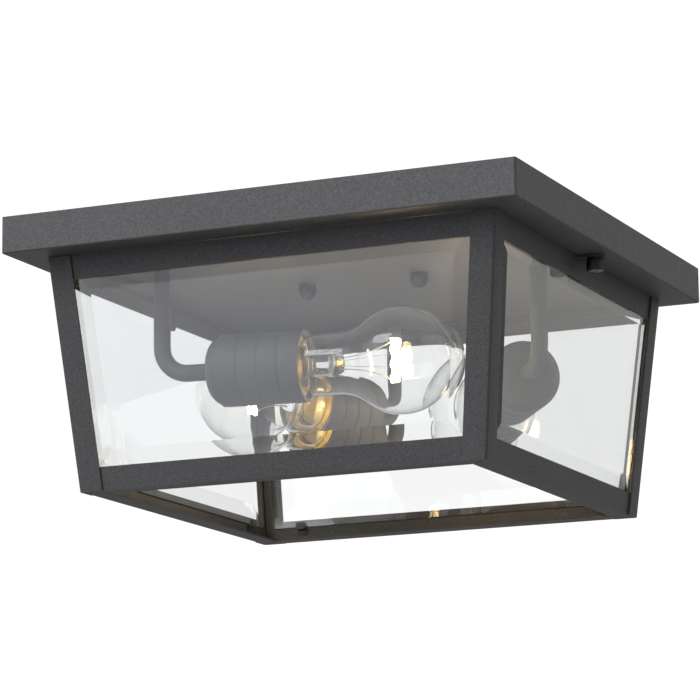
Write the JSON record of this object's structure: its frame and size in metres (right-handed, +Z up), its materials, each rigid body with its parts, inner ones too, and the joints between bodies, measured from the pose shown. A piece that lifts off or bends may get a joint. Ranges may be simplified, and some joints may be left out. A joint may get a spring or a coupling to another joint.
{
  "type": "outdoor ceiling light",
  "caption": "Square flush porch lantern: ceiling pan, tapered metal cage with bevelled glass panes and an open bottom, and clear bulbs lying flat on bent arms.",
  "frame": {"origin": "middle of the ceiling plane, on the top face of the mounting bracket, level with the pan's rim", "axes": "+Z up into the ceiling, X along the front face, front towards -Y"},
  "size_m": [0.305, 0.305, 0.1523],
  "materials": {
    "pan_paint": "charcoal powder coat with a fine grain, satin underneath",
    "cage_paint": "black powder coat with a fine grain",
    "lamp_paint": "dark grey satin paint",
    "zinc_steel": "zinc plated",
    "black_nickel": "dark polished plating",
    "green_screw": "green dip",
    "brass": "bright pressed brass",
    "base_metal": "rolled thin brass",
    "porcelain": "cream glazed",
    "terminal_plastic": "moulded",
    "lead_sheath": "soft sheath",
    "pane_glass": "clear, bevelled",
    "bulb_glass": "clear, thin",
    "filament": "glowing wire"
  },
  "bodies": {
    "root": {"ceiling_pan": "pan_paint", "mounting_bracket": "zinc_steel", "bracket_studs": "zinc_steel", "bracket_lock_nuts": "zinc_steel", "cap_nuts": "black_nickel", "ground_screw": "green_screw", "thumb_studs": "zinc_steel", "arm_lock_nuts": "zinc_steel", "socket_lock_nuts": "zinc_steel", "terminal_block": "terminal_plastic", "terminal_screws": "brass", "socket_insulators": "porcelain", "screw_shells": "brass", "centre_contacts": "brass", "lamp_arm_front": "lamp_paint", "socket_cup_front": "lamp_paint", "lamp_lead_front": "lead_sheath", "lamp_arm_right": "lamp_paint", "socket_cup_right": "lamp_paint", "lamp_lead_right": "lead_sheath", "lamp_arm_back": "lamp_paint", "socket_cup_back": "lamp_paint", "lamp_lead_back": "lead_sheath"},
    "cage": {"corner_post_front_left": "cage_paint", "corner_post_front_right": "cage_paint", "corner_post_back_right": "cage_paint", "corner_post_back_left": "cage_paint", "top_rail_front": "cage_paint", "bottom_rail_front": "cage_paint", "glass_pane_front": "pane_glass", "top_rail_right": "cage_paint", "bottom_rail_right": "cage_paint", "glass_pane_right": "pane_glass", "top_rail_back": "cage_paint", "bottom_rail_back": "cage_paint", "glass_pane_back": "pane_glass", "top_rail_left": "cage_paint", "bottom_rail_left": "cage_paint", "glass_pane_left": "pane_glass", "glass_clips": "cage_paint", "hanger_tabs": "cage_paint", "thumb_washer_left": "black_nickel", "thumb_washer_right": "black_nickel"},
    "left_nut": {"thumb_nut_left": "black_nickel"},
    "right_nut": {"thumb_nut_right": "black_nickel"},
    "front_eyelet": {"bulb_eyelet_front": "brass"},
    "front_bulb": {"bulb_base_front": "base_metal", "bulb_glass_front": "bulb_glass", "bulb_stem_front": "bulb_glass", "bulb_filament_front": "filament"},
    "right_eyelet": {"bulb_eyelet_right": "brass"},
    "right_bulb": {"bulb_base_right": "base_metal", "bulb_glass_right": "bulb_glass", "bulb_stem_right": "bulb_glass", "bulb_filament_right": "filament"},
    "back_eyelet": {"bulb_eyelet_back": "brass"},
    "back_bulb": {"bulb_base_back": "base_metal", "bulb_glass_back": "bulb_glass", "bulb_stem_back": "bulb_glass", "bulb_filament_back": "filament"}
  },
  "joints": [
    {"name": "cage_lift_off", "type": "slide", "parent": "root", "child": "cage", "axis": [0, 0, -1], "range_m": [0, 0.11]},
    {"name": "left_nut_turn", "type": "hinge", "parent": "cage", "child": "left_nut", "pos_m": [-0.141, 0, -0.0268], "axis": [0, 0, -1], "range_deg": [0, 2880]},
    {"name": "right_nut_turn", "type": "hinge", "parent": "cage", "child": "right_nut", "pos_m": [0.141, 0, -0.0268], "axis": [0, 0, -1], "range_deg": [0, 2880]},
    {"name": "front_bulb_travel", "type": "slide", "parent": "root", "child": "front_eyelet", "axis": [0.989, 0.1478, 0], "range_m": [0, 0.01462]},
    {"name": "front_bulb_turn", "type": "hinge", "parent": "front_eyelet", "child": "front_bulb", "pos_m": [-0.02553, -0.08372, -0.0852], "axis": [0.989, 0.1478, 0], "range_deg": [0, 1440]},
    {"name": "right_bulb_travel", "type": "slide", "parent": "root", "child": "right_eyelet", "axis": [-0.5664, 0.8241, 0], "range_m": [0, 0.00464]},
    {"name": "right_bulb_turn", "type": "hinge", "parent": "right_eyelet", "child": "right_bulb", "pos_m": [0.08127, 0.02082, -0.0852], "axis": [-0.5664, 0.8241, 0], "range_deg": [0, 450]},
    {"name": "back_bulb_travel", "type": "slide", "parent": "root", "child": "back_eyelet", "axis": [-0.2504, -0.9681, 0], "range_m": [0, 0.01462]},
    {"name": "back_bulb_turn", "type": "hinge", "parent": "back_eyelet", "child": "back_bulb", "pos_m": [-0.04445, 0.05809, -0.0852], "axis": [-0.2504, -0.9681, 0], "range_deg": [0, 1440]}
  ],
  "couplings": [
    {"joint": "front_bulb_travel", "follows": "front_bulb_turn", "m_per_rad": 0.00057757},
    {"joint": "right_bulb_travel", "follows": "right_bulb_turn", "m_per_rad": 0.00057757},
    {"joint": "back_bulb_travel", "follows": "back_bulb_turn", "m_per_rad": 0.00057757}
  ]
}
